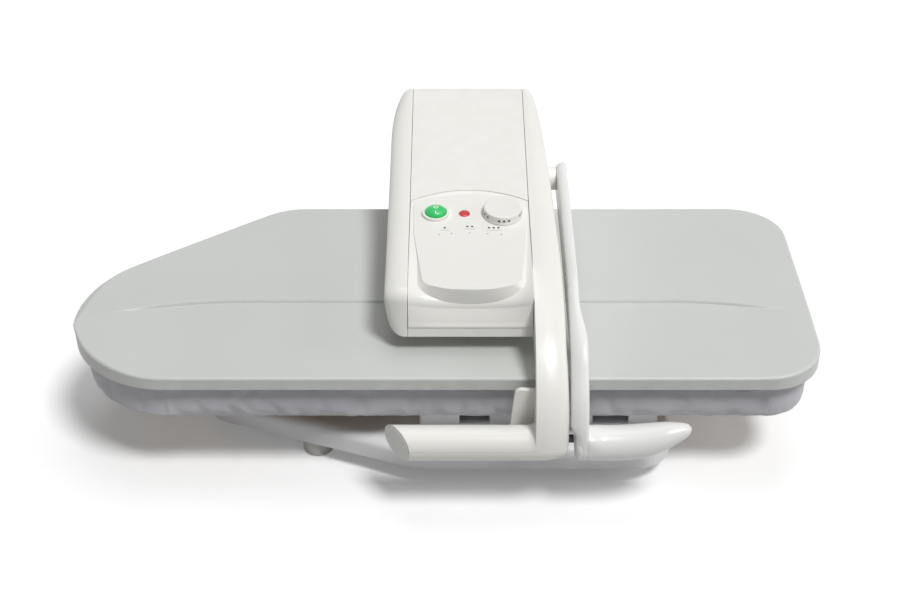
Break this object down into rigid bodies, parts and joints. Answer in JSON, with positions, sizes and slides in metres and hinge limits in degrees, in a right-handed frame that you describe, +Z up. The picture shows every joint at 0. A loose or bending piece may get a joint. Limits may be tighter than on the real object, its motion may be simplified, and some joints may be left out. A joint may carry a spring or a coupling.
{
  "type": "steam ironing press",
  "caption": "Table-top ironing press: padded board on a low base, hinged heated shoe with cover, handle arm, pressure lever, rocker switch, pilot lamp and temperature knob.",
  "frame": {"origin": "on the floor under the feet, below the middle of the closed press's box", "axes": "+Z up; +X along the pressing board to the user's right, with the pointed nose at -X; -Y towards the user, where the handles are"},
  "size_m": [0.6524, 0.4005, 0.2144],
  "materials": {
    "base_plastic": "moulded, satin, cool white",
    "housing_plastic": "moulded, satin, ivory white",
    "lever_plastic": "moulded, satin, white",
    "cover_paint": "smooth satin paint, light grey",
    "pad_cloth": "fine woven cloth, silver grey",
    "board_wood": "pressed fibre board",
    "sole_aluminium": "ground and polished",
    "element_steel": "drawn tube, heat tinted",
    "mat_fibre": "needled ceramic fibre",
    "zinc_steel": "folded sheet, zinc plated",
    "axle_steel": "ground bar",
    "spring_steel": "oiled spring wire",
    "bush_brass": "turned",
    "foot_rubber": "matt, grey",
    "black_rubber": "matt, black",
    "black_plastic": "phenolic moulding",
    "green_plastic": "translucent, glossy",
    "red_lens": "translucent, glossy",
    "lamp_glass": "clear"
  },
  "bodies": {
    "base": {"base_shell": "base_plastic", "base_bottom_plate": "base_plastic", "feet": "foot_rubber", "foot_screws": "zinc_steel", "mains_gland": "base_plastic", "board_pedestal": "base_plastic", "table_board": "board_wood", "board_screws": "zinc_steel", "table_pad": "pad_cloth", "hinge_bracket": "zinc_steel", "bracket_bolts": "zinc_steel", "hinge_axle": "axle_steel", "axle_clips": "zinc_steel", "lifting_springs": "spring_steel"},
    "head": {"housing_left_shell": "housing_plastic", "housing_right_shell": "housing_plastic", "housing_base_plate": "housing_plastic", "housing_roof": "housing_plastic", "control_panel": "housing_plastic", "grip_lower_shell": "housing_plastic", "grip_end_cap": "housing_plastic", "handle_inner_shell": "housing_plastic", "switch_body": "housing_plastic", "lever_boss": "housing_plastic", "shoe_cover": "cover_paint", "sole_plate": "sole_aluminium", "heating_element": "element_steel", "insulation_mat": "mat_fibre", "head_frame": "zinc_steel", "shoe_carrier": "zinc_steel", "sole_spacers": "zinc_steel", "shoe_posts": "zinc_steel", "spring_pin": "zinc_steel", "post_screws": "zinc_steel", "hinge_bushes": "bush_brass", "lever_bumper": "black_rubber", "thermostat": "black_plastic", "terminal_block": "black_plastic", "thermal_cutout": "black_plastic", "pilot_holder": "black_plastic", "side_screw": "black_plastic", "pilot_lens": "red_lens", "pilot_lamp": "lamp_glass"},
    "lever": {"pressure_lever": "lever_plastic", "lever_shaft": "axle_steel", "pressure_cam": "black_plastic"},
    "knob": {"temperature_knob": "housing_plastic", "knob_shaft": "axle_steel"},
    "rocker": {"power_rocker": "green_plastic"}
  },
  "joints": [
    {"name": "head_hinge", "type": "hinge", "parent": "base", "child": "head", "pos_m": [0.028, 0.158, 0.088], "axis": [-1, 0, 0], "range_deg": [0, 55]},
    {"name": "lever_hinge", "type": "hinge", "parent": "head", "child": "lever", "pos_m": [0.114, 0.088, 0.172], "axis": [-1, 0, 0], "range_deg": [0, 32]},
    {"name": "knob_turn", "type": "hinge", "parent": "head", "child": "knob", "pos_m": [0.0528, -0.0015, 0.18844], "axis": [0, 0.0758, -0.9971], "range_deg": [0, 270]},
    {"name": "rocker_tilt", "type": "hinge", "parent": "head", "child": "rocker", "pos_m": [-0.007, -0.00154, 0.18894], "axis": [1, 0, 0], "range_deg": [0, 12]}
  ]
}
